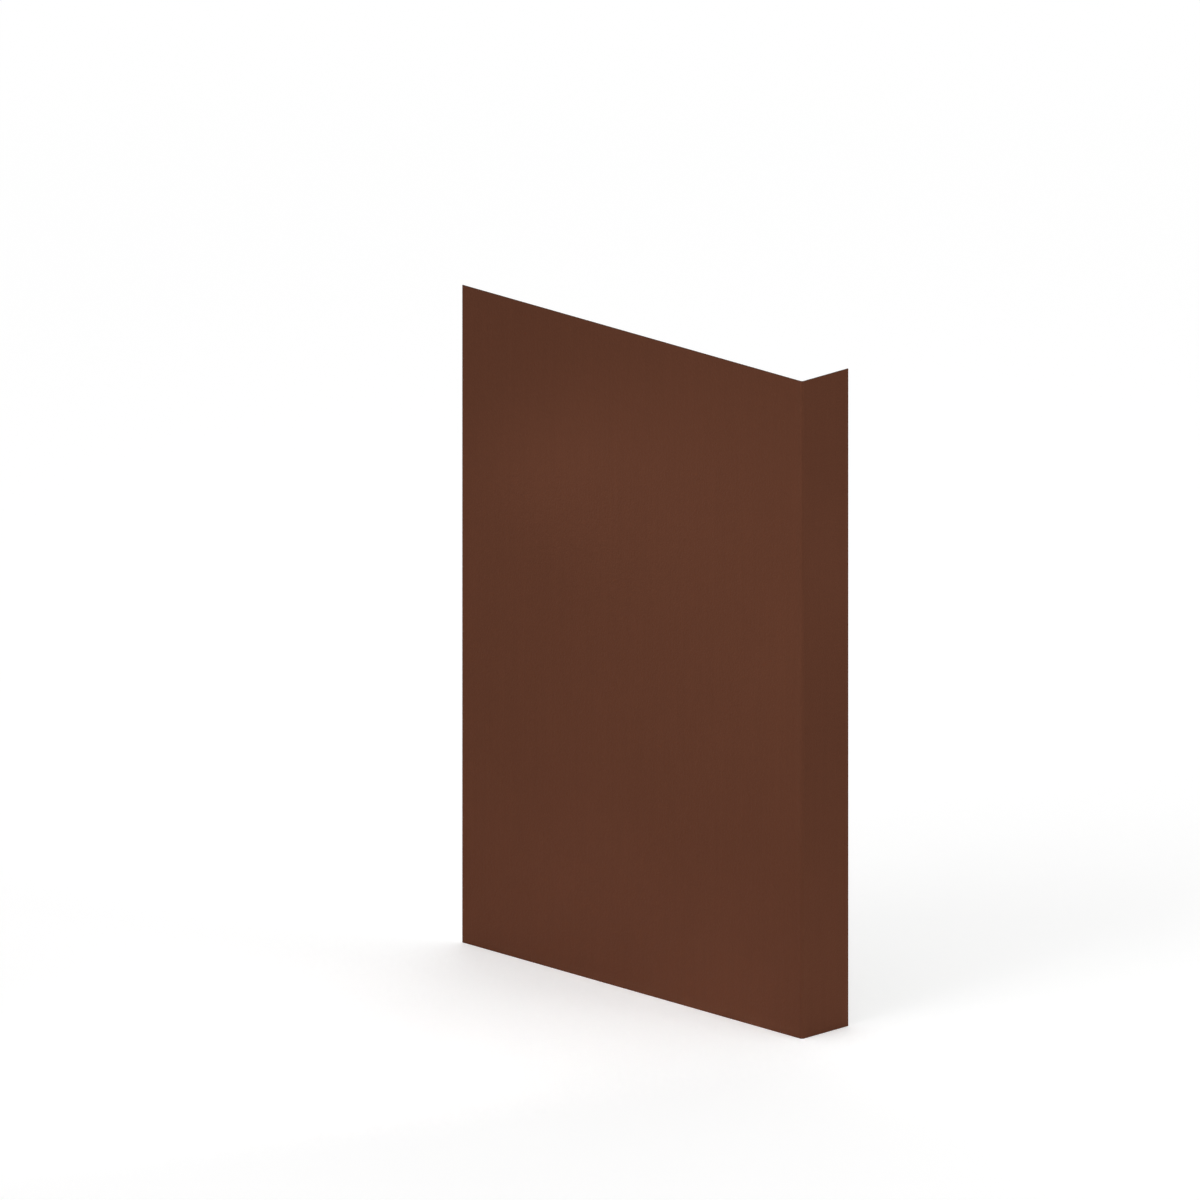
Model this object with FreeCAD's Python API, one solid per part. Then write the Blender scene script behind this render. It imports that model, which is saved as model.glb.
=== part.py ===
"""Window reveal trim: one strip of coated steel sheet with one lengthways fold.

The wide leg lines the side of a window opening, the reveal. The fold wraps the outer corner of
the wall, and the narrow leg lies on the face of the wall.

Units are millimetres. The origin is the middle of the flat back of the wide leg, +Y points out
of that back into the wall, +Z runs up the fold, and +X points outdoors, to the fold.
"""

import math
import os

import FreeCAD
import Part

# Section, measured over the outside faces up to the sharp corner that they would meet in
REVEAL_LEG = 220.0
WALL_LEG = 30.0
# Length along the fold
LENGTH = 314.0
# Gauge of the coated sheet
SHEET = 0.5
# Inside radius of the pressed fold
FOLD_RADIUS = 1.0
# Angle between the two legs
FOLD_ANGLE = 90.0

PARTS = "parts"


def point(x, y):
    """A point of the section, in the plane across the fold."""
    return FreeCAD.Vector(x, y, 0.0)


class Section:
    """The folded section, with its sizes worked out from the driving dimensions."""

    def __init__(self):
        self.turn = math.radians(180.0 - FOLD_ANGLE)
        self.outer_radius = FOLD_RADIUS + SHEET
        # What the fold takes off each leg, from the sharp corner to where the curve starts
        self.setback = self.outer_radius * math.tan(self.turn / 2.0)
        self.reveal_flat = REVEAL_LEG - self.setback
        self.wall_flat = WALL_LEG - self.setback
        self.fold_centre = point(self.reveal_flat / 2.0, FOLD_RADIUS)

    def on_fold(self, angle, depth):
        """The point of the fold at an angle round it, at a depth under the outside face."""
        radius = self.outer_radius - depth
        outward = point(math.sin(angle), -math.cos(angle))
        return self.fold_centre + outward * radius

    def face_line(self, depth):
        """The wide leg, the fold and the narrow leg as edges, at a depth under the outside face."""
        fold_start = self.on_fold(0.0, depth)
        fold_middle = self.on_fold(self.turn / 2.0, depth)
        fold_end = self.on_fold(self.turn, depth)
        reveal_edge = fold_start - point(self.reveal_flat, 0.0)
        along_wall_leg = point(math.cos(self.turn), math.sin(self.turn))
        wall_edge = fold_end + along_wall_leg * self.wall_flat
        edges = [
            Part.LineSegment(reveal_edge, fold_start).toShape(),
            Part.Arc(fold_start, fold_middle, fold_end).toShape(),
            Part.LineSegment(fold_end, wall_edge).toShape(),
        ]
        return edges, reveal_edge, wall_edge

    def face(self):
        """The closed outline of the sheet, cut square at both of its long edges."""
        outside, outside_start, outside_end = self.face_line(0.0)
        inside, inside_start, inside_end = self.face_line(SHEET)
        cut_edges = [
            Part.LineSegment(outside_start, inside_start).toShape(),
            Part.LineSegment(outside_end, inside_end).toShape(),
        ]
        outline = Part.Wire(Part.__sortEdges__(outside + inside + cut_edges))
        return Part.Face(outline)


def reveal_trim():
    """The folded strip, with the origin half-way along it."""
    strip = Section().face().extrude(FreeCAD.Vector(0.0, 0.0, LENGTH))
    strip.translate(FreeCAD.Vector(0.0, 0.0, -LENGTH / 2.0))
    return strip


def main():
    os.makedirs(PARTS, exist_ok=True)
    reveal_trim().exportStep(os.path.join(PARTS, "reveal_trim.step"))


main()
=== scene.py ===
"""Window reveal trim: one folded strip of coated sheet, with its finishes, stage and camera.

Everything is in metres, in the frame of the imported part: +X points outdoors to the fold, +Y into
the wall and +Z up the fold. The outside of the wide leg faces -Y, that of the narrow leg +X.
"""

import math
from typing import NamedTuple

import bmesh
import bpy
from bpy.props import FloatProperty, FloatVectorProperty, IntProperty, PointerProperty
from mathutils import Matrix, Vector


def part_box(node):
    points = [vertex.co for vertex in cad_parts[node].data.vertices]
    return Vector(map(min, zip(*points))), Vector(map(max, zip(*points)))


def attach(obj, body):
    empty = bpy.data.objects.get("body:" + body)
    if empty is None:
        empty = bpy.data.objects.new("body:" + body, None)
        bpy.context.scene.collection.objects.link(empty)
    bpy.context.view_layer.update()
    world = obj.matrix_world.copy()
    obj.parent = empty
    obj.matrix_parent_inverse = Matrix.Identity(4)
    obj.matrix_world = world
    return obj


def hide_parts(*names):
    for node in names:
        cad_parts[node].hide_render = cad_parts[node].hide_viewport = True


bl_info = {
    "name": "Window reveal trim",
    "version": (1, 0, 0),
    "blender": (4, 5, 0),
    "location": "3D View > Sidebar > Reveal Trim",
    "description": "A folded strip of coated sheet that lines the side of a window opening",
    "category": "Object",
}

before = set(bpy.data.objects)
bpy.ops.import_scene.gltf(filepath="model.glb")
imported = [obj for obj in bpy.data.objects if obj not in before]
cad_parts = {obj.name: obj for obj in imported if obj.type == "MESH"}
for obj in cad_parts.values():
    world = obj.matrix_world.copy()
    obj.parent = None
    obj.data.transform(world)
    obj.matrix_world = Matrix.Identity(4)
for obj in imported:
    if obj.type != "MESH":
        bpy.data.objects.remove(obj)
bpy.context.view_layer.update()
TRIM_NODE = "reveal_trim"

# The photograph is square. The upper free corner of the wide leg lies at this pixel of it.
PHOTO_PIXELS = 1200
FREE_CORNER_PIXEL = (462.2, 284.9)


# Settings that a user would change


class SheetSizes(bpy.types.PropertyGroup):
    """Sizes of the folded sheet that the frame's box doesn't give."""

    gauge: FloatProperty(
        name="Gauge",
        description="Thickness of the coated sheet",
        default=0.0005,
        min=0.0001,
        precision=5,
        unit="LENGTH",
    )
    fold_radius: FloatProperty(
        name="Fold radius",
        description="Inside radius of the fold between the legs",
        default=0.001,
        min=0.0002,
        precision=5,
        unit="LENGTH",
    )
    fold_facets: IntProperty(
        name="Fold facets",
        description="Number of flats that the fold's curve is made of",
        default=18,
        min=4,
    )
    edge_break: FloatProperty(
        name="Edge break",
        description="Width of the rounding that the shear leaves along each cut edge",
        default=0.00006,
        min=0.00001,
        precision=6,
        unit="LENGTH",
    )


class SheetFinishes(bpy.types.PropertyGroup):
    """Colours and gloss of the outside coat, the back coat and the cut steel."""

    coat_colour: FloatVectorProperty(
        name="Outside coat",
        description="Colour of the coat on the faces that show when the trim is fitted",
        subtype="COLOR",
        size=3,
        min=0.0,
        max=1.0,
        default=(0.1055, 0.0386, 0.0216),
    )
    coat_tinted_gloss: FloatProperty(
        name="Tinted gloss",
        description="Share of the outside coat whose gloss has the coat's own colour",
        subtype="FACTOR",
        default=0.35,
        min=0.0,
        max=1.0,
    )
    coat_roughness: FloatProperty(
        name="Coat roughness",
        description="Roughness of the outside coat, from a mirror at 0 to chalk at 1",
        subtype="FACTOR",
        default=0.34,
        min=0.0,
        max=1.0,
    )
    back_colour: FloatVectorProperty(
        name="Back coat",
        description="Colour of the thin coat on the faces that lie against the wall",
        subtype="COLOR",
        size=3,
        min=0.0,
        max=1.0,
        default=(0.42, 0.41, 0.38),
    )
    back_roughness: FloatProperty(
        name="Back roughness",
        description="Roughness of the back coat",
        subtype="FACTOR",
        default=0.55,
        min=0.0,
        max=1.0,
    )
    # Near black: painted shade, so that the cut edges draw a dark line along the sheet
    shaded_steel_colour: FloatVectorProperty(
        name="Cut steel",
        description="Colour of the bare steel at the cut edges",
        subtype="COLOR",
        size=3,
        min=0.0,
        max=1.0,
        default=(0.050, 0.040, 0.033),
    )


class StageSettings(bpy.types.PropertyGroup):
    """The camera's angle, the floor and the level of the light."""

    camera_azimuth: FloatProperty(
        name="Camera azimuth",
        description="Angle of the camera round the trim, from square on to the wide leg",
        subtype="ANGLE",
        default=math.radians(45.0),
    )
    camera_elevation: FloatProperty(
        name="Camera elevation",
        description="Angle of the camera above the horizon",
        subtype="ANGLE",
        default=math.radians(16.55),
    )
    view_width: FloatProperty(
        name="View width",
        description="Width of what the parallel camera sees",
        default=0.5493,
        unit="LENGTH",
    )
    floor_colour: FloatVectorProperty(
        name="Floor",
        description="Colour of the plain floor",
        subtype="COLOR",
        size=3,
        min=0.0,
        max=1.0,
        default=(0.9, 0.9, 0.9),
    )
    floor_lift: FloatProperty(
        name="Floor lift",
        description="What the camera and reflections see added to the floor, to make it white",
        default=0.27,
        min=0.0,
    )
    sky_level: FloatProperty(
        name="Sky level",
        description="Level of the even light from all round, where 1 shows a colour as written",
        default=0.56,
        min=0.0,
    )
    lamp_scale: FloatProperty(
        name="Lamp scale",
        description="Multiplies the level of every lamp",
        default=1.0,
        min=0.0,
    )


# Shader nodes, written as expressions

# Leaves a pattern as it is along all three axes
EVEN = (1.0, 1.0, 1.0)


class Number:
    """A number that changes over a surface, and that arithmetic can be written with."""

    def __init__(self, shading, socket):
        self.shading = shading
        self.socket = socket

    def __add__(self, other):
        return self.shading.maths("ADD", self, other)

    def __radd__(self, other):
        return self.shading.maths("ADD", other, self)

    def __sub__(self, other):
        return self.shading.maths("SUBTRACT", self, other)

    def __rsub__(self, other):
        return self.shading.maths("SUBTRACT", other, self)

    def __mul__(self, other):
        return self.shading.maths("MULTIPLY", self, other)

    def __rmul__(self, other):
        return self.shading.maths("MULTIPLY", other, self)


class Shading:
    """The nodes of one material, or of the world."""

    def __init__(self, tree):
        tree.nodes.clear()
        self.tree = tree

    def node(self, kind, settings=None, sockets=None):
        """A new node. Its settings are set first, then the values or links of its sockets."""
        made = self.tree.nodes.new(kind)
        for name, value in (settings or {}).items():
            setattr(made, name, value)
        for key, value in (sockets or {}).items():
            target = self.find(made.inputs, key)
            source = getattr(value, "socket", value)
            if isinstance(source, bpy.types.NodeSocket):
                self.tree.links.new(source, target)
            else:
                target.default_value = source
        return made

    @staticmethod
    def find(sockets, key):
        """The socket with that number, identifier or name."""
        if isinstance(key, int):
            return sockets[key]
        for each in sockets:
            if each.identifier == key:
                return each
        return sockets[key]

    def maths(self, operation, *operands):
        """A number that a Math node works out."""
        made = self.node("ShaderNodeMath", {"operation": operation}, dict(enumerate(operands)))
        return Number(self, made.outputs[0])

    def places(self, stretch=EVEN):
        """Places on the object in metres, multiplied by a stretch for each axis."""
        where = self.node("ShaderNodeTexCoord").outputs["Object"]
        settings = {"operation": "MULTIPLY"}
        scaled = self.node("ShaderNodeVectorMath", settings, {0: where, 1: stretch})
        return scaled.outputs["Vector"]

    def noise(self, size, detail, stretch=EVEN):
        """Soft noise from 0 to 1, with features about as wide as the size in metres."""
        sockets = {"Vector": self.places(stretch), "Scale": 1.0 / size, "Detail": detail}
        return Number(self, self.node("ShaderNodeTexNoise", None, sockets).outputs[0])

    def step(self, value, start, end):
        """A smooth step from 0 at the start to 1 at the end."""
        settings = {"interpolation_type": "SMOOTHSTEP"}
        sockets = {"Value": value, "From Min": start, "From Max": end}
        return Number(self, self.node("ShaderNodeMapRange", settings, sockets).outputs[0])

    def mix(self, factor, low, high):
        """A colour between two colours."""
        settings = {"data_type": "RGBA"}
        sockets = {"Factor_Float": factor, "A_Color": opaque(low), "B_Color": opaque(high)}
        made = self.node("ShaderNodeMix", settings, sockets)
        return self.find(made.outputs, "Result_Color")

    def bump(self, pattern, height, under=None):
        """Relief of that height in metres, laid over other relief if it is given."""
        sockets = {"Height": pattern, "Distance": height}
        if under is not None:
            sockets["Normal"] = under
        return self.node("ShaderNodeBump", None, sockets).outputs["Normal"]

    def blend(self, factor, first, second):
        """A shader between two shaders."""
        made = self.node("ShaderNodeMixShader", None, {0: factor, 1: first, 2: second})
        return made.outputs["Shader"]

    def seen_directly(self):
        """1 for the camera, for reflections and for what is seen through glass, else 0."""
        ray = self.node("ShaderNodeLightPath").outputs
        camera_or_glossy = self.maths("MAXIMUM", ray["Is Camera Ray"], ray["Is Glossy Ray"])
        return self.maths("MAXIMUM", camera_or_glossy, ray["Is Transmission Ray"])


def opaque(colour):
    """A colour with an alpha of 1."""
    return (*colour, 1.0)


def shade(colour, factor):
    """A colour made lighter or darker by a factor."""
    return tuple(channel * factor for channel in colour)


def darker_and_lighter(colour, share):
    """Two colours, one as much darker than the colour as the other is lighter."""
    return shade(colour, 1.0 - share), shade(colour, 1.0 + share)


def new_material(name):
    """A material with no nodes yet, and the shading that fills it."""
    made = bpy.data.materials.new(name)
    made.use_nodes = True
    return made, Shading(made.node_tree)


def finish_material(shading, sockets):
    """Closes a material with the surface shader."""
    surface = shading.node("ShaderNodeBsdfPrincipled", None, sockets)
    shading.node("ShaderNodeOutputMaterial", None, {"Surface": surface.outputs["BSDF"]})


# Finishes

# How far the tone swings to both sides of the colour, as a share of it
COAT_SWING = 0.21
BACK_SWING = 0.14
STEEL_SWING = 0.6
# Middle of a pattern that runs from 0 to 1
MIDDLE = 0.5
# The coating roller's marks are drawn out along the strip
COAT_ROLLER_LINES = (1.0, 1.0, 0.03)
BACK_ROLLER_LINES = (1.0, 1.0, 0.02)
# Strength of the white glare, where 0.5 is that of a clear varnish: faint on the outside coat and
# the cut steel, and soft on the back coat
FAINT_GLARE = 0.02
SOFT_GLARE = 0.3
# Tint of what the outside coat and the cut steel reflect at a very slanting look
GRAZING_TINT = (0.55, 0.42, 0.36)
# Only this share of the cut shines as metal, so that the edge stays dark with its painted shade
STEEL_BRIGHT_SHARE = 0.12
STEEL_ROUGHNESS = 0.6


def outside_coat(finishes):
    """Smooth satin coat, with the faint skin and the slow drift in tone of a rolled-on coat."""
    made, shading = new_material("brown_outside_coat")
    drift = shading.noise(size=0.055, detail=3.0)
    roller = shading.noise(size=0.0018, detail=1.0, stretch=COAT_ROLLER_LINES)
    skin = shading.noise(size=0.0009, detail=2.0)
    grain = shading.noise(size=0.00022, detail=3.0)
    tone = 0.2 * drift + 0.15 * roller + 0.3 * skin + 0.35 * grain
    dulling = 0.04 * (drift - MIDDLE) + 0.06 * (skin - MIDDLE) + 0.04 * (grain - MIDDLE)
    skin_relief = shading.bump(skin, height=0.00014)
    finish_material(shading, {
        "Base Color": shading.mix(tone, *darker_and_lighter(finishes.coat_colour, COAT_SWING)),
        "Roughness": finishes.coat_roughness + dulling,
        "Metallic": finishes.coat_tinted_gloss,
        "Specular IOR Level": FAINT_GLARE,
        "Specular Tint": opaque(GRAZING_TINT),
        "Normal": shading.bump(grain, height=0.00004, under=skin_relief),
    })
    return made


def back_coat(finishes):
    """Thin pale coat, matt and a little uneven, with the roller's marks along the strip."""
    made, shading = new_material("grey_back_coat")
    cloud = shading.noise(size=0.03, detail=4.0)
    roller = shading.noise(size=0.0025, detail=2.0, stretch=BACK_ROLLER_LINES)
    skin = shading.noise(size=0.0011, detail=3.0)
    grain = shading.noise(size=0.0003, detail=2.0)
    tone = 0.2 * cloud + 0.25 * roller + 0.3 * skin + 0.25 * grain
    dulling = 0.08 * (cloud - MIDDLE) + 0.04 * (skin - MIDDLE)
    skin_relief = shading.bump(skin, height=0.0001)
    finish_material(shading, {
        "Base Color": shading.mix(tone, *darker_and_lighter(finishes.back_colour, BACK_SWING)),
        "Roughness": finishes.back_roughness + dulling,
        "Specular IOR Level": SOFT_GLARE,
        "Normal": shading.bump(grain, height=0.00003, under=skin_relief),
    })
    return made


def cut_steel(finishes):
    """Sheared edge of the sheet, coloured near black as painted shade, with the fine marks that the
    blade leaves across it.
    """
    made, shading = new_material("steel_edge_painted_shade")
    marks = shading.noise(size=0.00012, detail=2.0)
    stain = shading.noise(size=0.004, detail=3.0)
    tone = 0.4 * stain + 0.6 * marks
    finish_material(shading, {
        "Base Color": shading.mix(tone, *darker_and_lighter(finishes.shaded_steel_colour, STEEL_SWING)),
        "Roughness": STEEL_ROUGHNESS + 0.2 * (marks - MIDDLE),
        "Metallic": STEEL_BRIGHT_SHARE,
        "Specular IOR Level": FAINT_GLARE,
        "Specular Tint": opaque(GRAZING_TINT),
        "Normal": shading.bump(marks, height=0.000008),
    })
    return made


# The folded sheet

# Number of each finish in the sheet's list of materials
COAT, BACK, CUT = range(3)
# Edges that turn more than this are the ones that the shear leaves
SHARP_TURN = math.radians(60.0)
# Flats and facets that meet at less than this are shaded as one smooth face
SMOOTH_TURN = math.radians(50.0)
# The rounding of a sheared edge: its facets, and the profile of a round one
BREAK_SEGMENTS = 3
ROUND_PROFILE = 0.5


def sheet_section(low, high, sizes):
    """Pairs of points through the sheet, outside and back, from one free edge to the other."""
    outer = sizes.fold_radius + sizes.gauge
    if outer >= min(high.x - low.x, high.y - low.y):
        raise ValueError("the fold's radius is larger than a leg")
    centre = Vector((high.x - outer, low.y + outer))
    pairs = [(Vector((low.x, low.y)), Vector((low.x, low.y + sizes.gauge)))]
    for facet in range(sizes.fold_facets + 1):
        angle = math.pi / 2.0 * facet / sizes.fold_facets
        outward = Vector((math.sin(angle), -math.cos(angle)))
        pairs.append((centre + outward * outer, centre + outward * sizes.fold_radius))
    pairs.append((Vector((high.x, high.y)), Vector((high.x - sizes.gauge, high.y))))
    return pairs


def stack_sheet(mesh, pairs, bottom, top):
    """Raises the section into the strip, with each face given its finish."""

    def corner(point, height):
        return mesh.verts.new((point.x, point.y, height))

    def face(finish, *corners):
        mesh.faces.new(corners).material_index = finish

    columns = []
    for outside, back in pairs:
        columns.append({
            "outside": (corner(outside, bottom), corner(outside, top)),
            "back": (corner(back, bottom), corner(back, top)),
        })
    for here, there in zip(columns, columns[1:]):
        face(COAT, here["outside"][0], there["outside"][0], there["outside"][1], here["outside"][1])
        face(BACK, there["back"][0], here["back"][0], here["back"][1], there["back"][1])
        face(CUT, here["outside"][1], there["outside"][1], there["back"][1], here["back"][1])
        face(CUT, here["back"][0], there["back"][0], there["outside"][0], here["outside"][0])
    first = columns[0]
    last = columns[-1]
    face(CUT, first["back"][0], first["outside"][0], first["outside"][1], first["back"][1])
    face(CUT, last["outside"][0], last["back"][0], last["back"][1], last["outside"][1])


def break_edges(mesh, width):
    """Rounds the sheared edges. The rounding takes the coat over on both sides of the steel."""
    sharp = [edge for edge in mesh.edges if edge.calc_face_angle(0.0) > SHARP_TURN]
    bmesh.ops.bevel(
        mesh,
        geom=sharp,
        offset=width,
        offset_type="OFFSET",
        segments=BREAK_SEGMENTS,
        profile=ROUND_PROFILE,
        affect="EDGES",
        clamp_overlap=True,
    )


def fold_sheet(scene):
    """The trim itself, which stands for the plain solid of the frame."""
    sizes = scene.sheet_sizes
    low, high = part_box(TRIM_NODE)
    mesh = bmesh.new()
    stack_sheet(mesh, sheet_section(low, high, sizes), low.z, high.z)
    bmesh.ops.recalc_face_normals(mesh, faces=mesh.faces)
    break_edges(mesh, sizes.edge_break)
    data = bpy.data.meshes.new("folded_sheet")
    mesh.to_mesh(data)
    mesh.free()
    data.shade_smooth()
    data.set_sharp_from_angle(angle=SMOOTH_TURN)
    for finish in (outside_coat, back_coat, cut_steel):
        data.materials.append(finish(scene.sheet_finishes))
    trim = bpy.data.objects.new("folded_sheet", data)
    scene.collection.objects.link(trim)
    # Keeps the shading of the legs flat beside the rounded edges and the fold
    flat = trim.modifiers.new("flat_legs", "WEIGHTED_NORMAL")
    flat.keep_sharp = True
    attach(trim, "root")
    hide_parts(TRIM_NODE)


# The floor and the sky

WHITE = (1.0, 1.0, 1.0, 1.0)
FULL_STRENGTH = 1.0
FLOOR_RADIUS = 6.0
FLOOR_SIDES = 96
# From the nearer distance to the farther one, the floor that is seen turns pure white
FLOOR_WHITENS = (0.5, 1.6)


def white_floor(stage):
    """A floor that the camera and reflections see white, and that lights the trim as a matt one."""
    made, shading = new_material("plain_white_floor")
    matt = shading.node("ShaderNodeBsdfDiffuse", None, {"Color": opaque(stage.floor_colour)})
    lift = shading.node("ShaderNodeEmission", None, {"Strength": stage.floor_lift})
    both = {0: matt.outputs["BSDF"], 1: lift.outputs["Emission"]}
    lifted = shading.node("ShaderNodeAddShader", None, both)
    white = shading.node("ShaderNodeEmission", None, {"Strength": FULL_STRENGTH})
    along = shading.node("ShaderNodeVectorMath", {"operation": "LENGTH"}, {0: shading.places()})
    far = shading.step(along.outputs["Value"], *FLOOR_WHITENS)
    whitened = shading.blend(far, lifted.outputs["Shader"], white.outputs["Emission"])
    shown = shading.blend(shading.seen_directly(), matt.outputs["BSDF"], whitened)
    shading.node("ShaderNodeOutputMaterial", None, {"Surface": shown})
    return made


def lay_floor(scene, height):
    """A round floor under the trim, too wide for its rim to be seen."""
    mesh = bmesh.new()
    bmesh.ops.create_circle(mesh, cap_ends=True, radius=FLOOR_RADIUS, segments=FLOOR_SIDES)
    data = bpy.data.meshes.new("floor")
    mesh.to_mesh(data)
    mesh.free()
    data.materials.append(white_floor(scene.stage_settings))
    floor = bpy.data.objects.new("floor", data)
    floor.location = (0.0, 0.0, height)
    scene.collection.objects.link(floor)


def fill_sky(scene):
    """Even light from all round, and white where the camera or a reflection sees past the floor."""
    world = bpy.data.worlds.new("even_white_room")
    world.use_nodes = True
    scene.world = world
    shading = Shading(world.node_tree)
    even = {"Color": WHITE, "Strength": scene.stage_settings.sky_level}
    plain = {"Color": WHITE, "Strength": FULL_STRENGTH}
    light = shading.node("ShaderNodeBackground", None, even).outputs["Background"]
    white = shading.node("ShaderNodeBackground", None, plain).outputs["Background"]
    shown = shading.blend(shading.seen_directly(), light, white)
    shading.node("ShaderNodeOutputWorld", None, {"Surface": shown})


# The lamps and the camera

MIDDLE_OF_TRIM = (0.0, 0.0, 0.0)
# A spread that doesn't narrow a lamp's beam, in degrees
ALL_WAYS = 180.0
CAMERA_DISTANCE = 2.5


class Lamp(NamedTuple):
    """A square soft lamp, hung at an azimuth, an elevation and a distance from what it lights."""

    name: str
    aim: tuple
    azimuth: float
    elevation: float
    distance: float
    size: float
    spread: float
    level: float


class Strip(NamedTuple):
    """A narrow lamp between two points, with the way that it faces and its own brightness."""

    name: str
    start: tuple
    end: tuple
    facing: tuple
    width: float
    brightness: float


LAMPS = (
    # One large lamp for each leg, neither of them in line with what the fold reflects
    Lamp("wide_leg_lamp", MIDDLE_OF_TRIM, -15.0, 35.0, 5.0, 3.2, ALL_WAYS, 0.14),
    Lamp("narrow_leg_lamp", MIDDLE_OF_TRIM, 105.0, 8.0, 1.8, 1.0, ALL_WAYS, 0.14),
    # The wide leg is a little lighter beside the fold
    Lamp("fold_side_lamp", (0.09, 0.0, 0.0), 5.0, 12.0, 0.45, 0.2, 60.0, 0.025),
    Lamp("fold_top_lamp", (0.1, 0.0, 0.05), 0.0, 20.0, 0.35, 0.12, 70.0, 0.018),
    # The foot gets less light from the floor, and these small lamps make up for it
    Lamp("wide_foot_lamp", (-0.02, 0.0, -0.19), -15.0, 12.0, 1.2, 0.1, 12.0, 0.0012),
    Lamp("fold_foot_lamp", (0.075, 0.0, -0.19), -15.0, 12.0, 0.9, 0.08, 10.0, 0.0014),
    Lamp("narrow_foot_lamp", (0.11, 0.015, -0.15), 105.0, 12.0, 0.9, 0.08, 12.0, 0.00062),
    # The floor, the upper edges and the back
    Lamp("top_lamp", MIDDLE_OF_TRIM, 0.0, 89.0, 2.6, 2.0, ALL_WAYS, 0.14),
    Lamp("back_lamp", MIDDLE_OF_TRIM, 215.0, 50.0, 1.8, 1.2, ALL_WAYS, 0.10),
)
# Square on to the outside of each leg
TO_WIDE_LEG = (0.0, 1.0, 0.0)
TO_NARROW_LEG = (-1.0, 0.0, 0.0)
# Strip lamps close to the legs, whose reflections draw the soft band on the coat. On the wide leg
# the band is narrow where its lamp is near and widens from this place on, as the lamp goes away.
BAND_WIDENS = (-0.138, -0.140, 0.036)
STRIPS = (
    Strip("near_band_strip", (-0.155, -0.100, 0.052), BAND_WIDENS, TO_WIDE_LEG, 0.014, 6.99),
    Strip("far_band_strip", BAND_WIDENS, (-0.080, -0.290, -0.024), TO_WIDE_LEG, 0.044, 0.68),
    Strip("narrow_leg_strip", (0.23, 0.09, 0.029), (0.23, 0.15, 0.029), TO_NARROW_LEG, 0.016, 2.26),
)


def sight(azimuth, elevation):
    """The way from the trim to a place at those angles, and the level way to the right there."""
    level = math.cos(elevation)
    toward = Vector((
        math.sin(azimuth) * level,
        -math.cos(azimuth) * level,
        math.sin(elevation),
    ))
    right = Vector((math.cos(azimuth), math.sin(azimuth), 0.0))
    return toward, right


def put(scene, data, place, toward, right):
    """A lamp or a camera that looks back along a direction, with its X axis to the right."""
    thing = bpy.data.objects.new(data.name, data)
    thing.location = place
    thing.rotation_mode = "QUATERNION"
    up = toward.cross(right)
    thing.rotation_quaternion = Matrix((right, up, toward)).transposed().to_quaternion()
    scene.collection.objects.link(thing)
    return thing


def hang_lamp(scene, lamp):
    """Hangs a soft lamp, whose level is what it adds to a white face if it shines all ways."""
    data = bpy.data.lights.new(lamp.name, "AREA")
    data.shape = "SQUARE"
    data.size = lamp.size
    data.spread = math.radians(lamp.spread)
    scale = scene.stage_settings.lamp_scale
    data.energy = lamp.level * scale * math.pi ** 2 * lamp.distance ** 2
    toward, right = sight(math.radians(lamp.azimuth), math.radians(lamp.elevation))
    place = Vector(lamp.aim) + toward * lamp.distance
    put(scene, data, place, toward, right).visible_camera = False


def hang_strip(scene, strip):
    """Hangs a strip lamp, turned about its own line as far as it can be to face a leg."""
    start = Vector(strip.start)
    end = Vector(strip.end)
    facing = Vector(strip.facing)
    along = (end - start).normalized()
    toward = -(facing - along * facing.dot(along)).normalized()
    data = bpy.data.lights.new(strip.name, "AREA")
    data.shape = "RECTANGLE"
    data.size = (end - start).length
    data.size_y = strip.width
    area = data.size * data.size_y
    data.energy = strip.brightness * scene.stage_settings.lamp_scale * math.pi * area
    put(scene, data, (start + end) / 2.0, toward, along).visible_camera = False


def place_camera(scene, low, high):
    """A parallel camera, set so that the wide leg's free upper corner falls on its pixel."""
    stage = scene.stage_settings
    toward, right = sight(stage.camera_azimuth, stage.camera_elevation)
    up = toward.cross(right)
    pixel = stage.view_width / PHOTO_PIXELS
    middle = PHOTO_PIXELS / 2.0
    across = (FREE_CORNER_PIXEL[0] - middle) * pixel
    above = (middle - FREE_CORNER_PIXEL[1]) * pixel
    centre = Vector((low.x, low.y, high.z)) - right * across - up * above
    data = bpy.data.cameras.new("camera")
    data.type = "ORTHO"
    data.ortho_scale = stage.view_width
    data.dof.use_dof = False
    # Its distance is from the frame's origin, so it is the same whatever the corner's depth
    place = centre - toward * centre.dot(toward) + toward * CAMERA_DISTANCE
    scene.camera = put(scene, data, place, toward, right)


def set_stage(scene):
    """The floor, the sky, the lamps and the camera."""
    low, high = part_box(TRIM_NODE)
    scene.view_settings.view_transform = "Standard"
    lay_floor(scene, low.z)
    fill_sky(scene)
    for lamp in LAMPS:
        hang_lamp(scene, lamp)
    for strip in STRIPS:
        hang_strip(scene, strip)
    place_camera(scene, low, high)


# The add-on


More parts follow.
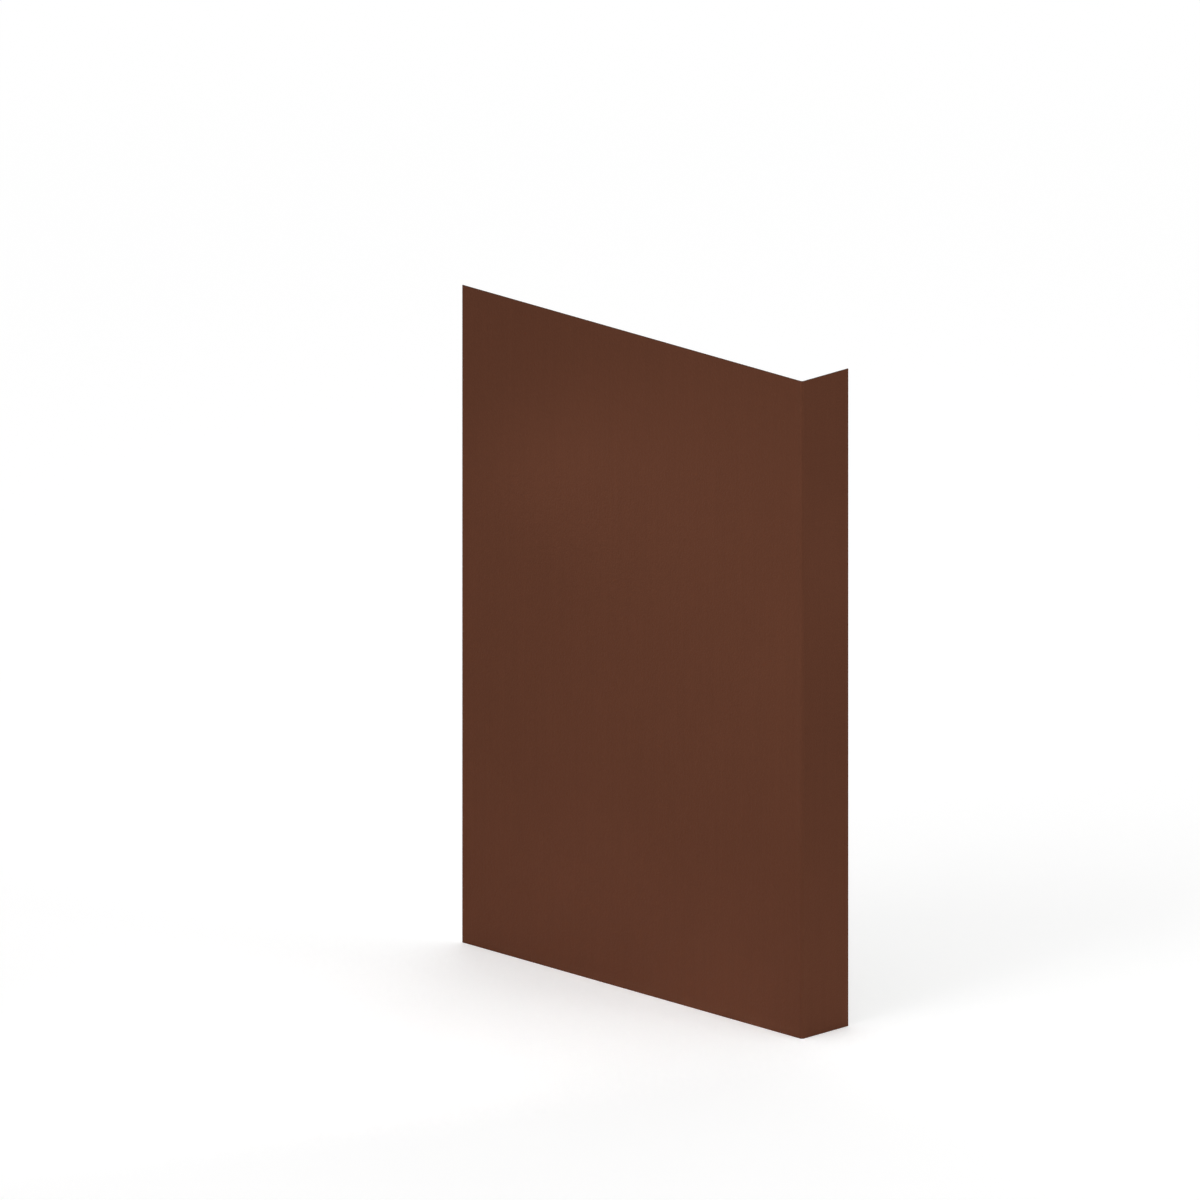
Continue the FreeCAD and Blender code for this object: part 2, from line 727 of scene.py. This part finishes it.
class TRIM_OT_fold_sheet(bpy.types.Operator):
    """Fold the sheet of the reveal trim and coat it"""

    bl_idname = "reveal_trim.fold_sheet"
    bl_label = "Fold the Sheet"

    def execute(self, context):
        fold_sheet(context.scene)
        return {"FINISHED"}


class TRIM_OT_set_stage(bpy.types.Operator):
    """Lay the floor, hang the lamps and place the camera"""

    bl_idname = "reveal_trim.set_stage"
    bl_label = "Set the Stage"

    def execute(self, context):
        set_stage(context.scene)
        return {"FINISHED"}


class TRIM_PT_panel(bpy.types.Panel):
    """Settings and steps of the reveal trim"""

    bl_idname = "TRIM_PT_panel"
    bl_label = "Reveal Trim"
    bl_space_type = "VIEW_3D"
    bl_region_type = "UI"
    bl_category = "Reveal Trim"

    def draw(self, context):
        for group, step in (
            ("sheet_sizes", None),
            ("sheet_finishes", TRIM_OT_fold_sheet),
            ("stage_settings", TRIM_OT_set_stage),
        ):
            settings = getattr(context.scene, group)
            for name in settings.__annotations__:
                self.layout.prop(settings, name)
            if step:
                self.layout.operator(step.bl_idname)


# The groups of settings, by the names that a scene keeps them under
GROUPS = {
    "sheet_sizes": SheetSizes,
    "sheet_finishes": SheetFinishes,
    "stage_settings": StageSettings,
}
OPERATORS_AND_PANEL = (TRIM_OT_fold_sheet, TRIM_OT_set_stage, TRIM_PT_panel)


def register():
    """Registers the settings before what uses them."""
    for name, group in GROUPS.items():
        bpy.utils.register_class(group)
        setattr(bpy.types.Scene, name, PointerProperty(type=group))
    for each in OPERATORS_AND_PANEL:
        bpy.utils.register_class(each)


def unregister():
    """Takes back what register did, in the opposite order."""
    for each in reversed(OPERATORS_AND_PANEL):
        bpy.utils.unregister_class(each)
    for name, group in reversed(GROUPS.items()):
        delattr(bpy.types.Scene, name)
        bpy.utils.unregister_class(group)


def corners(box):
    """The two corners of a box as plain lists of numbers."""
    return [[float(value) for value in corner] for corner in box]


def main():
    register()
    bpy.ops.reveal_trim.fold_sheet()
    bpy.ops.reveal_trim.set_stage()


if __name__ == "__main__":
    main()
